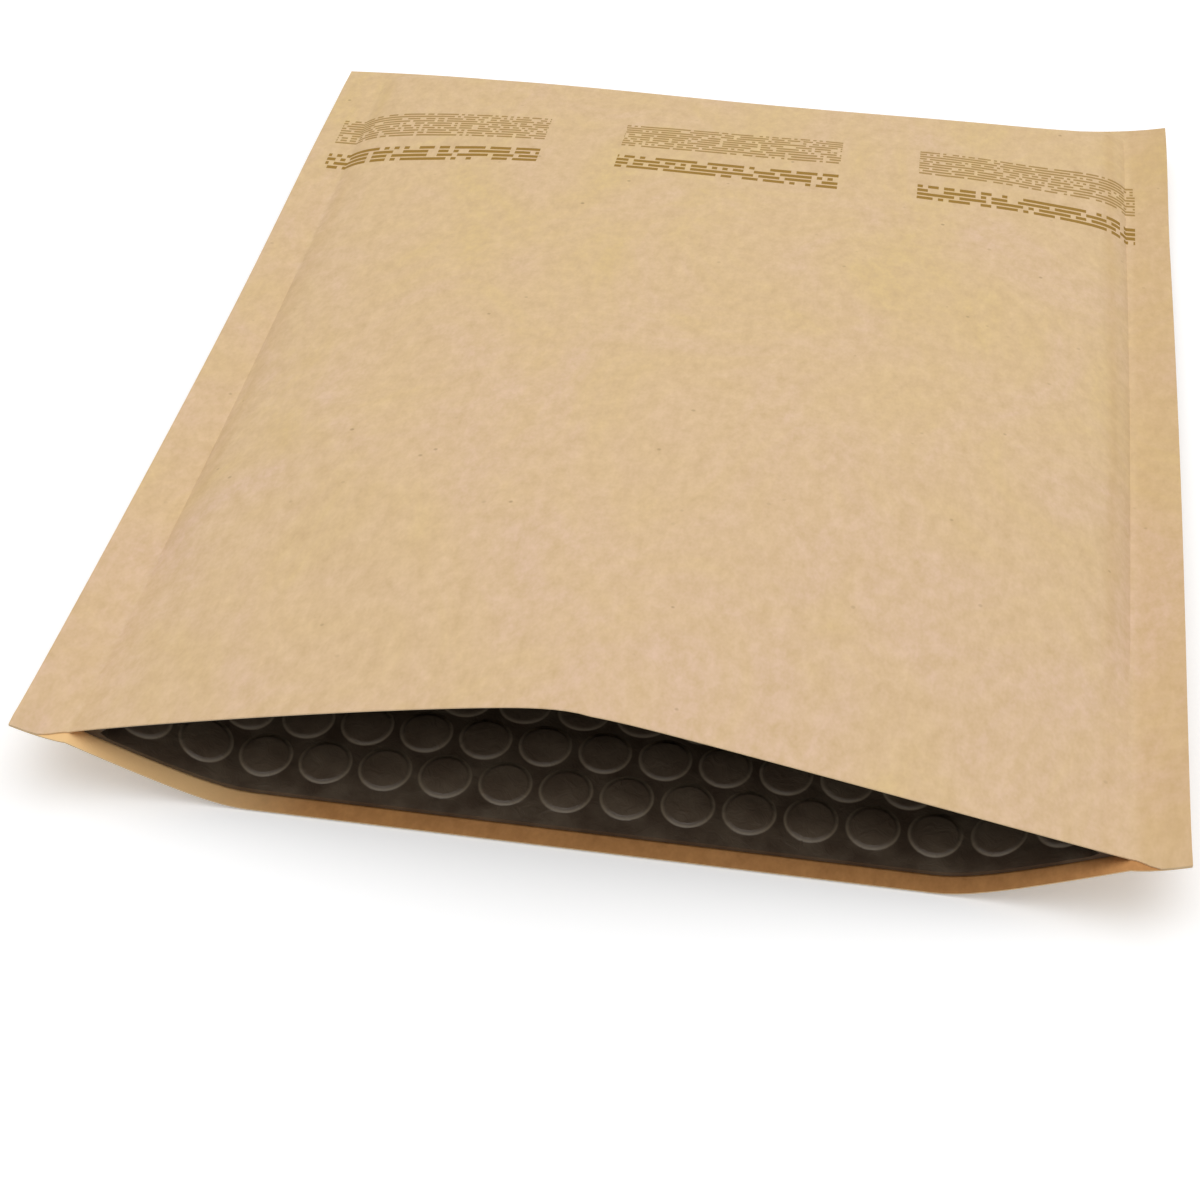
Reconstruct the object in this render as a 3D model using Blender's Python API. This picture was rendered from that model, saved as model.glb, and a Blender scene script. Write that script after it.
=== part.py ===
"""A padded envelope of brown kraft paper, lying on its back panel with its mouth held open.

One kraft sheet is folded across at the closed end and sealed down both sides. A folded sheet of
bubble film lines it, with its flat side towards the pocket. Metres, +Z up: the mouth faces -Y,
and the origin is under the middle of the envelope, on the surface that it lies on.

Each surface is a grid of points. A row lies at v, the way in from the front panel's lip. A column
lies at s, from -1 to 1 across the pocket, and past that at q, from 0 to 1 across a side seam.
"""

import math

import bmesh
import bpy
import numpy as np

# The kraft sheet, measured flat
PANEL_WIDTH = 0.216  # over both side seams
PANEL_LENGTH = 0.279  # the front panel, from its lip to the fold
KRAFT_THICKNESS = 0.00025
SEAM_WIDTH = 0.0105  # the strip down each side where the two panels are sealed together
LIP_LEAD = 0.0025  # how far the back panel's lip stands out past the front panel's

# The open mouth
CREST_HEIGHT = 0.0304  # the front panel's lip at its middle
RIDGE_EASE = 0.008  # how far to each side the rounding of the lip's ridge reaches
MOUTH_SEAM_HEIGHT = 0.0114  # the seams' inner edges at the lip
MOUTH_SEAM_FLARE = 0.0026  # how much higher the seams' outer edges are there

# The closed end
FOLD_THICKNESS = 0.008
FOLD_NOSE = 0.009  # the length over which the panels round down into the fold
CORNER_LIFT = 0.004  # how far the right corner curls up there
CORNER_LIFT_WIDTH = 0.045
CORNER_LIFT_LENGTH = 0.060

# How the panels run between the two ends
CREST_FALL = 1.3  # power of v by which the front panel comes down to the fold
SEAM_FALL = 0.8  # the same for the seams
FLARE_LENGTH = 0.180  # the way in over which the seams' flare dies out
TENT_LENGTH = 0.100  # the way in over which the front panel's ridge turns into a broad arch
ARCH_POWER = 2.6  # how squarely that arch meets the seams
SHOULDER_HEIGHT = 0.0040  # how high the padding lifts the front panel close beside a seam
SHOULDER_POWER = 25.0  # how close
FLANK_WIDTH = 0.0335  # the strip over which the back panel rises to each seam
FLANK_EASE = 0.010  # how much of that strip rounds up from the flat

# The bubble lining
LINING_THICKNESS = 0.0038
FILM_THICKNESS = 0.0008  # between the cells, where only the film is left
CELL_PITCH = 0.0115
LINING_INSET = 0.0025  # how far its lip stands back from the front panel's
LIP_TAPER = 0.020  # the length over which it thickens, from film at its lip to full cells
LINING_EDGE = 0.0024  # from a seam's inner edge to its side edge
LINING_CORNER = 0.006  # how far its corners round in at the fold
LINING_SEAL = 0.002  # the strip down each side where its two plies are sealed together
PLY_SLIT = 0.0004  # the room between its two plies where they lie together
SQUEEZE_POWER = 4.0  # how suddenly its thickness gives way to the room that it has
FIT_GAP = 0.00045  # between the kraft and the lining

# How finely the surfaces are divided
BODY_ROWS = 14
BODY_ROW_CROWDING = 1.3  # power by which the rows crowd towards the mouth
NOSE_STEPS = 4
RIDGE_COLUMNS = (0.0, 0.05, 0.11, 0.19)
ARCH_COLUMNS = (0.30, 0.42, 0.54, 0.62)
FLANK_COLUMNS = (0.67, 0.72, 0.78, 0.84, 0.89, 0.93, 0.97, 1.0)
SEAM_STEPS = 2
SHARP_ANGLE = math.radians(35.0)
MERGE_DISTANCE = 1e-6

KRAFT_COLOUR = (0.690, 0.497, 0.292, 1.0)
FILM_COLOUR = (0.740, 0.760, 0.750, 1.0)

POCKET_HALF_WIDTH = PANEL_WIDTH / 2.0 - SEAM_WIDTH
NOSE_START = PANEL_LENGTH - FOLD_NOSE
FOLD_HEIGHT = FOLD_THICKNESS / 2.0
MIDDLE = (PANEL_LENGTH - LIP_LEAD) / 2.0  # v of the envelope's middle, where the origin is


def smooth_step(t):
    """0 below 0, 1 above 1, and an even S between them."""
    t = np.clip(t, 0.0, 1.0)
    return t * t * (3.0 - 2.0 * t)


def rounded_vee(t, ease):
    """0 at t = 0 and 1 at t = 1, straight but for a rounding of about the width ease at 0."""
    return (np.hypot(t, ease) - ease) / (np.hypot(1.0, ease) - ease)


def crest_height(v):
    """The front panel's height along its middle line."""
    fall = np.clip(v / PANEL_LENGTH, 0.0, 1.0) ** CREST_FALL
    return FOLD_THICKNESS + (CREST_HEIGHT - FOLD_THICKNESS) * (1.0 - fall)


def seam_height(v):
    """The height of the side seams' inner edges."""
    fall = np.clip(v / PANEL_LENGTH, 0.0, 1.0) ** SEAM_FALL
    return FOLD_HEIGHT + (MOUTH_SEAM_HEIGHT - FOLD_HEIGHT) * (1.0 - fall)


def seam_flare(v):
    """How much higher than their inner edges the seams' outer edges are."""
    return MOUTH_SEAM_FLARE * (1.0 - smooth_step(v / FLARE_LENGTH))


def pocket_half_width(v):
    """From the middle line to a seam's inner edge: the sheet doesn't stretch, so it draws in."""
    return np.sqrt(POCKET_HALF_WIDTH**2 - (crest_height(v) - seam_height(v)) ** 2)


def seam_reach(v):
    """How far across a seam reaches."""
    return np.sqrt(SEAM_WIDTH**2 - seam_flare(v) ** 2)


def front_rise(v):
    """How far the underside of the front panel rises from the seams to its middle line."""
    return crest_height(v) - KRAFT_THICKNESS - seam_height(v)


def front_shape(v, s):
    """1 on the middle line and 0 at the seams: a tent at the mouth, and an arch further in.

    The arch stands on a shoulder on each side, where the padding lifts the panel.
    """
    tent = 1.0 - rounded_vee(s, RIDGE_EASE / pocket_half_width(v))
    shoulder = np.minimum(SHOULDER_HEIGHT / front_rise(v), 1.0)
    arch = 1.0 - shoulder * np.abs(s) ** SHOULDER_POWER - (1.0 - shoulder) * np.abs(s) ** ARCH_POWER
    return tent + (arch - tent) * smooth_step(v / TENT_LENGTH)


def back_shape(v, s):
    """0 where the back panel lies flat, and 1 at the seams."""
    up_the_flank = 1.0 - (1.0 - np.abs(s)) * pocket_half_width(v) / FLANK_WIDTH
    return rounded_vee(np.clip(up_the_flank, 0.0, None), FLANK_EASE / FLANK_WIDTH)


def front_inner_height(v, s, q):
    """The underside of the front panel, before the fold rounds it down."""
    return seam_height(v) + front_rise(v) * front_shape(v, s) + seam_flare(v) * np.abs(q)


def back_inner_height(v, s, q):
    """The upper side of the back panel, before the fold rounds it up."""
    rise = seam_height(v) - KRAFT_THICKNESS
    return KRAFT_THICKNESS + rise * back_shape(v, s) + seam_flare(v) * np.abs(q)


def into_fold(v):
    """0 where the panels start to round down into the fold, and 1 at the fold."""
    return np.clip((v - NOSE_START) / FOLD_NOSE, 0.0, 1.0)


def fold_ellipse(v):
    """1 where the panels start to round down, and 0 at the fold, along a quarter ellipse."""
    return np.sqrt(1.0 - into_fold(v) ** 2)


def round_down(v, height):
    """Draws a height in to the fold's over the last of the length."""
    return FOLD_HEIGHT + (height - FOLD_HEIGHT) * fold_ellipse(v)


def corner_lift(v, x):
    """The right corner's upward curl at the fold, which both panels and the lining share."""
    across = np.clip((x - PANEL_WIDTH / 2.0) / CORNER_LIFT_WIDTH + 1.0, 0.0, 1.0)
    along = smooth_step((v - PANEL_LENGTH) / CORNER_LIFT_LENGTH + 1.0)
    return CORNER_LIFT * across**3 * along


def place(v, x, height, fold_inset=0.0):
    """Turns rows, places across and heights into points, with fold_inset left free at the fold."""
    y = v - fold_inset * into_fold(v) - MIDDLE
    z = height + corner_lift(v, x)
    return np.stack(np.broadcast_arrays(x, y, z), axis=-1)


def nose_rows():
    """The rows round the fold, at even angles of its quarter ellipse."""
    angles = np.linspace(0.0, math.pi / 2.0, NOSE_STEPS + 1)[1:]
    return NOSE_START + FOLD_NOSE * np.sin(angles)


def body_rows(start):
    """The rows from start to where the fold begins."""
    share = np.linspace(0.0, 1.0, BODY_ROWS + 1) ** BODY_ROW_CROWDING
    return start + (NOSE_START - start) * share


def pocket_columns():
    """The columns across the pocket, close together at the ridge and up the flanks."""
    right = np.array(RIDGE_COLUMNS + ARCH_COLUMNS + FLANK_COLUMNS)
    return np.concatenate((-right[:0:-1], right))


def add_patch(mesh, points, is_lattice=False):
    """Adds a grid of points as a skin of triangles.

    The diagonals lean outwards, so that two patches which meet at their sides and their far end
    share no triangle in a corner. On a lattice they lean the other way each row instead.
    """
    rows = [[mesh.verts.new(point) for point in row] for row in points]
    for number, (near, far) in enumerate(zip(rows, rows[1:])):
        for column, (a, b, c, d) in enumerate(zip(near, near[1:], far[1:], far)):
            leans_right = number % 2 if is_lattice else 2 * column >= len(near) - 1
            if leans_right:
                corners = ((a, b, c), (a, c, d))
            else:
                corners = ((a, b, d), (b, c, d))
            for triangle in corners:
                mesh.faces.new(triangle)


def add_face(mesh, *edges):
    """Adds one flat face whose outline runs along the given rows of points."""
    mesh.faces.new([mesh.verts.new(point) for edge in edges for point in edge])


def finish(mesh, name, colour, roughness):
    """Joins the patches where they meet and makes them an object with its own material."""
    bmesh.ops.remove_doubles(mesh, verts=mesh.verts, dist=MERGE_DISTANCE)
    bmesh.ops.triangulate(mesh, faces=mesh.faces)
    bmesh.ops.recalc_face_normals(mesh, faces=mesh.faces)
    data = bpy.data.meshes.new(name)
    mesh.to_mesh(data)
    mesh.free()
    data.shade_smooth()
    data.set_sharp_from_angle(angle=SHARP_ANGLE)

    material = bpy.data.materials.new(name)
    material.use_nodes = True
    shader = material.node_tree.nodes["Principled BSDF"]
    shader.inputs["Base Color"].default_value = colour
    shader.inputs["Roughness"].default_value = roughness
    data.materials.append(material)

    made = bpy.data.objects.new(name, data)
    bpy.context.scene.collection.objects.link(made)
    return made


def kraft_points(v, s, q, side):
    """Points of the kraft at rows v and columns s and q.

    side is 2 on the front panel's outside and 1 on its inside, and the same less than 0 on the
    back panel. The two insides meet in the seams and at the fold.
    """
    x = s * pocket_half_width(v) + q * seam_reach(v)
    inner_height = front_inner_height if side > 0 else back_inner_height
    height = round_down(v, inner_height(v, s, q))
    if abs(side) == 2:
        return place(v, x, height + math.copysign(KRAFT_THICKNESS, side))
    return place(v, x, height, fold_inset=KRAFT_THICKNESS)


def make_wrapper():
    """The kraft sheet: two panels, the fold between them and the seams down both sides."""
    mesh = bmesh.new()
    v = np.concatenate((body_rows(0.0), nose_rows()))[:, None]
    pocket = pocket_columns()
    seam = np.linspace(0.0, 1.0, SEAM_STEPS + 1)[1:]
    s = np.concatenate((np.full(SEAM_STEPS, -1.0), pocket, np.ones(SEAM_STEPS)))
    q = np.concatenate((-seam[::-1], np.zeros(len(pocket)), seam))

    front_outside = kraft_points(v, s, q, 2)
    front_inside = kraft_points(v, s, q, 1)
    back_inside = kraft_points(v, s, q, -1)
    back_outside = kraft_points(v, s, q, -2)
    across_pocket = slice(SEAM_STEPS, SEAM_STEPS + len(pocket))
    add_patch(mesh, front_outside)
    add_patch(mesh, front_inside[:, across_pocket])
    add_patch(mesh, back_inside[:, across_pocket])
    add_patch(mesh, back_outside)

    # The cut edges: down the sides, across the front panel's lip and round the fold
    for edge in (0, -1):
        middle = front_outside[:, edge] / 2.0 + back_outside[:, edge] / 2.0
        add_patch(mesh, np.stack((front_outside[:, edge], middle, back_outside[:, edge]), axis=1))
    add_patch(mesh, np.stack((front_outside[0], front_inside[0])))
    fold_middle = front_outside[-1] / 2.0 + back_outside[-1] / 2.0
    add_patch(mesh, np.stack((front_outside[-1], fold_middle, back_outside[-1])))

    # The back panel's lip, which stands out past the front panel's
    lead = np.array((0.0, -LIP_LEAD, 0.0))
    upper = np.stack((back_inside[0], back_inside[0] + lead))
    lower = np.stack((back_outside[0], back_outside[0] + lead))
    add_patch(mesh, upper)
    add_patch(mesh, lower)
    add_patch(mesh, np.stack((upper[1], lower[1])))
    for edge in (0, -1):
        add_patch(mesh, np.stack((upper[:, edge], lower[:, edge])))
    return finish(mesh, "kraft_wrapper", KRAFT_COLOUR, 0.85)


def lining_span(v, x):
    """The heights between which the lining lies, a gap in from the kraft on both sides."""
    s = x / pocket_half_width(v)
    top = round_down(v, front_inner_height(v, s, 0.0) - FIT_GAP)
    bottom = round_down(v, back_inner_height(v, s, 0.0) + FIT_GAP)
    return top, bottom


def ply_thickness(v, top, bottom):
    """One ply of the lining over its cells: film at its lip, and squeezed where room is short.

    It is the lesser of the free thickness and half the room, eased where the two are alike.
    """
    cells = LINING_THICKNESS - FILM_THICKNESS
    free = FILM_THICKNESS + cells * np.clip((v - LINING_INSET) / LIP_TAPER, 0.0, 1.0)
    half_room = (top - bottom - PLY_SLIT) / 2.0
    return free * half_room / (free**SQUEEZE_POWER + half_room**SQUEEZE_POWER) ** (1.0 / SQUEEZE_POWER)


def lining_outsides():
    """The lining's two faces towards the kraft, as grids of points with the air cells on them.

    The points are a triangular lattice. Every third one is the crown of a cell, and the rest lie
    down on the film between the cells. Past the lattice, plain rows go round the fold.
    """
    spacing = CELL_PITCH / math.sqrt(3.0)
    row_count = round((NOSE_START - LINING_INSET) / (spacing * math.sqrt(0.75)))
    column_count = 2 * round(POCKET_HALF_WIDTH / spacing)
    lattice = np.linspace(LINING_INSET, NOSE_START, row_count + 1)
    v = np.concatenate((lattice, nose_rows()))[:, None]
    row = np.arange(len(v))[:, None]
    column = np.arange(column_count + 1)[None, :]
    inside = (column > 0) & (column < column_count)
    s = 2.0 * (column + 0.5 * (row % 2) * inside) / column_count - 1.0
    corner = LINING_CORNER * (1.0 - fold_ellipse(v))
    x = s * (pocket_half_width(v) - LINING_EDGE - corner)
    top, bottom = lining_span(v, x)

    crown = (column - row // 2 - row) % 3 == 0
    between_cells = inside & ~crown & (row < row_count)
    sunk = between_cells * np.maximum(ply_thickness(v, top, bottom) - FILM_THICKNESS, 0.0)
    fold_inset = KRAFT_THICKNESS + FIT_GAP
    return place(v, x, top - sunk, fold_inset), place(v, x, bottom + sunk, fold_inset)


def lining_insides():
    """The lining's two faces towards the pocket, which meet at its sides and its closed end."""
    v = np.append(LINING_INSET, body_rows(LINING_INSET + LIP_TAPER))[:, None]
    s = pocket_columns()[None, :]
    x = s * (pocket_half_width(v) - LINING_EDGE - LINING_SEAL)
    top, bottom = lining_span(v, x)
    open_here = (np.abs(s) < 1.0) & (v < NOSE_START)
    thickness = np.where(open_here, ply_thickness(v, top, bottom), (top - bottom) / 2.0)
    return place(v, x, top - thickness), place(v, x, bottom + thickness)


def make_lining():
    """The bubble film: two plies, folded at the closed end and sealed down both sides."""
    mesh = bmesh.new()
    upper_outside, lower_outside = lining_outsides()
    upper_inside, lower_inside = lining_insides()
    for points in (upper_outside, lower_outside):
        add_patch(mesh, points, is_lattice=True)
    for points in (upper_inside, lower_inside):
        add_patch(mesh, points)
    for edge in (0, -1):
        add_patch(mesh, np.stack((upper_outside[:, edge], lower_outside[:, edge]), axis=1))
        add_face(mesh, (upper_outside[0, edge], lower_outside[0, edge], upper_inside[0, edge]))
    add_face(mesh, upper_outside[0], upper_inside[0, ::-1])
    add_face(mesh, lower_outside[0], lower_inside[0, ::-1])
    return finish(mesh, "bubble_lining", FILM_COLOUR, 0.35)


def main():
    for old in list(bpy.data.objects):
        bpy.data.objects.remove(old, do_unlink=True)
    make_wrapper()
    make_lining()


main()
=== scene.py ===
"""A padded envelope: a folded kraft sheet around a lining of air-cell film, with its mouth open.

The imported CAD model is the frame, and each of its two solids is replaced by a finer surface.
Metres, +Z up. The mouth faces -Y, and the origin is under the envelope's middle.
"""

import logging
import math
from dataclasses import dataclass
from enum import Enum

import bpy
import numpy as np
from mathutils import Matrix, Vector


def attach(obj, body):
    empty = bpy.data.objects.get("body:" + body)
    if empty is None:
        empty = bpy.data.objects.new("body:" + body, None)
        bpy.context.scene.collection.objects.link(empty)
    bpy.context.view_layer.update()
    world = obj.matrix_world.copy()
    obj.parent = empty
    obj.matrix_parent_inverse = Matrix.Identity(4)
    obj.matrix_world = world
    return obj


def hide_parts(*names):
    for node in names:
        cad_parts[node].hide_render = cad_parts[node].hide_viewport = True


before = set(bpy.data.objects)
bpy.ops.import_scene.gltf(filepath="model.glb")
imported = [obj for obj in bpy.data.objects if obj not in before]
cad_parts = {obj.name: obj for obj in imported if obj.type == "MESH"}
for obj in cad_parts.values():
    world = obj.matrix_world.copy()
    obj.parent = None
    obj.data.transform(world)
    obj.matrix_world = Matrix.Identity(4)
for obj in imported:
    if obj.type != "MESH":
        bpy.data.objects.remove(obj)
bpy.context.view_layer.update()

LOG = logging.getLogger("padded_envelope")
SHEET_MAP = "sheet"  # the UV map of both pieces: metres on the flat sheet
NEAR = 1e-6  # two places nearer than this, in metres, are the same one
ROOT_BODY = "root"
WHITE = (1.0, 1.0, 1.0, 1.0)


class Panel(Enum):
    """The two panels of the folded sheet; the value is the way up that its outside faces."""

    FRONT = 1.0
    BACK = -1.0


class KraftFace(Enum):
    """The kinds of face on the kraft sheet; the value is the material's index."""

    OUTSIDE = 0
    INSIDE = 1
    CUT_EDGE = 2


def smooth_step(t: np.ndarray) -> np.ndarray:
    """0 below 0, 1 above 1, and 3tt - 2ttt between them."""
    t = np.clip(t, 0.0, 1.0)
    return t * t * (3.0 - 2.0 * t)


def rounded_vee(t: np.ndarray, ease: np.ndarray | float) -> np.ndarray:
    """A hyperbola that is 0 at t = 0 and 1 at t = 1, rounded at 0 over about the width ease."""
    return (np.hypot(t, ease) - ease) / (np.hypot(1.0, ease) - ease)


def linear(hex_colour: str) -> tuple[float, float, float, float]:
    """Turns an sRGB hex colour into the linear colour that a shader socket takes.

    Args:
        hex_colour: six hex digits after a hash sign.

    Returns:
        Linear red, green and blue, and an alpha of 1.
    """
    parts = [int(hex_colour[place : place + 2], 16) / 255.0 for place in (1, 3, 5)]
    red, green, blue = (
        part / 12.92 if part <= 0.04045 else ((part + 0.055) / 1.055) ** 2.4 for part in parts
    )
    return red, green, blue, 1.0


def add_node(
    tree: bpy.types.NodeTree, kind: str, sockets: dict | None = None, **settings: object
) -> bpy.types.Node:
    """Adds one node, sets it up, and fills or links its sockets.

    Args:
        tree: the node tree that it goes into.
        kind: the node's type name, without the word ShaderNode before it.
        sockets: for each input, its value, or what feeds it: an output socket, or a node, which
            stands for its first output in use.
        settings: the node's own settings.

    Returns:
        The new node.
    """
    node = tree.nodes.new("ShaderNode" + kind)
    for name, value in settings.items():
        setattr(node, name, value)
    for name, value in (sockets or {}).items():
        if isinstance(value, bpy.types.Node):
            value = next(output for output in value.outputs if output.enabled)
        if isinstance(value, bpy.types.NodeSocket):
            tree.links.new(value, node.inputs[name])
        else:
            node.inputs[name].default_value = value
    return node


def new_material(name: str) -> tuple[bpy.types.Material, bpy.types.NodeTree]:
    """Makes an empty material with only its output node.

    Args:
        name: the material's name.

    Returns:
        The material and its node tree.
    """
    material = bpy.data.materials.new(name)
    material.use_nodes = True
    tree = material.node_tree
    tree.nodes.clear()
    add_node(tree, "OutputMaterial")
    return material, tree


def show_shader(tree: bpy.types.NodeTree, shader: bpy.types.Node) -> None:
    """Links a shader's first output to the tree's output node."""
    output = next(node for node in tree.nodes if node.bl_idname.startswith("ShaderNodeOutput"))
    tree.links.new(shader.outputs[0], output.inputs["Surface"])


def grid_triangles(rows: int, columns: int) -> np.ndarray:
    """Splits each cell of a grid of points in two, anticlockwise with rows up and columns right.

    Args:
        rows: the number of rows of points.
        columns: the number of points in a row.

    Returns:
        Three point numbers for each triangle.
    """
    near = np.arange(rows - 1)[:, None] * columns + np.arange(columns - 1)
    a, b, c, d = near, near + 1, near + columns + 1, near + columns
    return np.stack((np.stack((a, b, c), -1), np.stack((a, c, d), -1)), 2).reshape(-1, 3)


def border_edges(triangles: np.ndarray) -> np.ndarray:
    """Finds the edges that only one triangle has.

    Args:
        triangles: three point numbers for each face.

    Returns:
        Two point numbers for each such edge, in its triangle's direction.
    """
    edges = np.concatenate((triangles[:, [0, 1]], triangles[:, [1, 2]], triangles[:, [2, 0]]))
    count = triangles.max() + 1
    forward = edges[:, 0] * count + edges[:, 1]
    backward = edges[:, 1] * count + edges[:, 0]
    return edges[~np.isin(forward, backward)]


def wall(edges: np.ndarray, first: int, second: int) -> np.ndarray:
    """Joins two copies of a border by a strip of triangles.

    Args:
        edges: the border's edges, with the surface on their left.
        first: the number of the first point in the copy whose faces keep that direction.
        second: the number of the first point in the other copy.

    Returns:
        Three point numbers for each triangle.
    """
    a, b = edges.T
    near = np.stack((b + first, a + first, a + second), -1)
    far = np.stack((b + first, a + second, b + second), -1)
    return np.concatenate((near, far))


def make_piece(
    name: str,
    points: np.ndarray,
    triangles: np.ndarray,
    flat: np.ndarray,
    layers: dict[str, np.ndarray],
    materials: list[bpy.types.Material],
    indices: np.ndarray | None = None,
    sharp_angle: float = math.radians(40.0),
) -> bpy.types.Object:
    """Puts whole arrays into a mesh and makes it an object at the origin.

    Args:
        name: the piece's name.
        points: x, y and z of each point.
        triangles: three point numbers for each face.
        flat: the place of each point on the flat sheet, in metres.
        layers: a number for each point, under the name that a material reads it by.
        materials: the piece's finishes.
        indices: which finish each face has, if there are several.
        sharp_angle: the angle between faces above which their edge looks sharp.

    Returns:
        The new object.
    """
    mesh = bpy.data.meshes.new(name)
    mesh.vertices.add(len(points))
    mesh.vertices.foreach_set("co", points.astype(np.float32).ravel())
    mesh.loops.add(triangles.size)
    mesh.loops.foreach_set("vertex_index", triangles.astype(np.int32).ravel())
    mesh.polygons.add(len(triangles))
    mesh.polygons.foreach_set("loop_start", np.arange(0, triangles.size, 3, dtype=np.int32))
    mesh.update(calc_edges=True)
    mesh.uv_layers.new(name=SHEET_MAP).uv.foreach_set(
        "vector", flat[triangles.ravel()].astype(np.float32).ravel()
    )
    for layer, values in layers.items():
        attribute = mesh.attributes.new(layer, "FLOAT", "POINT")
        attribute.data.foreach_set("value", values.astype(np.float32))
    for material in materials:
        mesh.materials.append(material)
    if indices is not None:
        mesh.polygons.foreach_set("material_index", indices.astype(np.int32))
    mesh.shade_smooth()
    mesh.set_sharp_from_angle(angle=sharp_angle)
    mesh.validate()
    piece = bpy.data.objects.new(name, mesh)
    bpy.context.scene.collection.objects.link(piece)
    LOG.info("%s: %d points, %d triangles", name, len(points), len(triangles))
    return piece


@dataclass(frozen=True)
class EnvelopeForm:
    """The form that the sheet and its lining share.

    A point is at v, the way in from the front panel's lip, at s, from -1 to 1 across the pocket,
    and at q, from 0 at a seam's inner edge to 1 or -1 at its outer edge.
    """

    panel_width: float = 0.216
    panel_length: float = 0.279
    kraft_thickness: float = 0.00025
    seam_width: float = 0.0105
    lip_lead: float = 0.0025
    crest_height: float = 0.0304
    crest_place: float = -0.040  # s of the front lip's highest point
    ridge_ease: float = 0.008
    mouth_seam_height: float = 0.0114
    mouth_seam_flare: float = 0.0026
    flare_length: float = 0.180
    swell: float = 0.0014  # how far the front lip's left half bows up from straight
    swell_length: float = 0.120
    swell_power: float = 0.6
    fold_thickness: float = 0.008
    fold_nose: float = 0.009
    fold_point: float = 1.7  # half an ellipse at 0.5, and more pointed above that
    corner_lift: float = 0.004
    corner_lift_width: float = 0.045
    corner_lift_length: float = 0.060
    corner_droop: float = 0.0010
    corner_droop_width: float = 0.050
    fold_wave: float = 0.00040
    fold_wave_length: float = 0.150
    fold_wave_crest: float = -0.070
    lean: float = 0.0009  # how far the closed end is to the right of the mouth
    bow: float = 0.00105  # how far the middle is to the right of both ends
    crest_fall: float = 1.3
    seam_fall: float = 0.8
    flare_power: float = 1.5  # how softly a seam turns up from its inner edge
    tent_length: float = 0.100
    arch_power: float = 2.6
    shoulder_height: float = 0.0034
    left_shoulder_height: float = 0.0022
    shoulder_power: float = 25.0
    flank_width: float = 0.0335
    flank_ease: float = 0.010
    slack: float = 0.00040  # the height of the paper's low waves
    slack_waves: int = 7
    slack_lengths: tuple[float, float] = (0.030, 0.085)
    slack_seed: int = 11
    slack_start: float = 0.045  # v from which the waves are full
    slack_end: float = 0.235  # v from which they fade again
    slack_fade: float = 0.038
    cell_pitch: float = 0.0115
    cell_show: float = 0.00006  # how far the air cells show through the paper
    cell_patches: float = 0.9  # how much more they show on a wave's crest

    @property
    def pocket_width(self) -> float:
        """Half the flat width between the two seams."""
        return self.panel_width / 2.0 - self.seam_width

    @property
    def nose_start(self) -> float:
        """v at which the panels start to round into the fold."""
        return self.panel_length - self.fold_nose

    @property
    def fold_height(self) -> float:
        """The height of the fold's tip."""
        return self.fold_thickness / 2.0

    def crest(self, v: np.ndarray) -> np.ndarray:
        """The front panel's height along its ridge: it falls with a power of v."""
        fall = np.clip(v / self.panel_length, 0.0, 1.0) ** self.crest_fall
        return self.fold_thickness + (self.crest_height - self.fold_thickness) * (1.0 - fall)

    def seam(self, v: np.ndarray) -> np.ndarray:
        """The height of the seams' inner edges: it falls with another power of v."""
        fall = np.clip(v / self.panel_length, 0.0, 1.0) ** self.seam_fall
        return self.fold_height + (self.mouth_seam_height - self.fold_height) * (1.0 - fall)

    def rise(self, v: np.ndarray) -> np.ndarray:
        """How far the front panel's inside rises from the seams to the ridge."""
        return self.crest(v) - self.kraft_thickness - self.seam(v)

    def flare(self, v: np.ndarray) -> np.ndarray:
        """How much higher than its inner edge a seam's outer edge is: an S along v."""
        return self.mouth_seam_flare * (1.0 - smooth_step(v / self.flare_length))

    def half_width(self, v: np.ndarray) -> np.ndarray:
        """From the middle to a seam: the third side of a triangle on the taut half panel."""
        return np.sqrt(self.pocket_width**2 - (self.crest(v) - self.seam(v)) ** 2)

    def seam_reach(self, v: np.ndarray) -> np.ndarray:
        """How far across a seam reaches: its flat width, less what the flare takes."""
        return np.sqrt(self.seam_width**2 - self.flare(v) ** 2)

    def front_shape(self, v: np.ndarray, s: np.ndarray) -> np.ndarray:
        """1 at the ridge and 0 at the seams: a tent at the mouth that turns into an arch.

        The tent is a rounded vee upside down. The arch is 1 less a power of s, and stands on a
        shoulder at each side, which is 1 less a high power of s.

        Args:
            v, s: the place on the panel.

        Returns:
            The shape at each place.
        """
        crest = self.crest_place * (1.0 - smooth_step(v / self.tent_length))
        away = np.where(s > crest, (s - crest) / (1.0 - crest), (crest - s) / (1.0 + crest))
        tent = 1.0 - rounded_vee(away, self.ridge_ease / self.half_width(v))
        height = np.where(s < 0.0, self.left_shoulder_height, self.shoulder_height)
        shoulder = np.minimum(height / self.rise(v), 1.0)
        arch = 1.0 - shoulder * np.abs(s) ** self.shoulder_power
        arch = arch - (1.0 - shoulder) * np.abs(s) ** self.arch_power
        return tent + (arch - tent) * smooth_step(v / self.tent_length)

    def back_shape(self, v: np.ndarray, s: np.ndarray) -> np.ndarray:
        """0 where the back panel lies flat, and 1 at the seams: a rounded vee up each flank."""
        up = 1.0 - (1.0 - np.abs(s)) * self.half_width(v) / self.flank_width
        return rounded_vee(np.clip(up, 0.0, None), self.flank_ease / self.flank_width)

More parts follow.
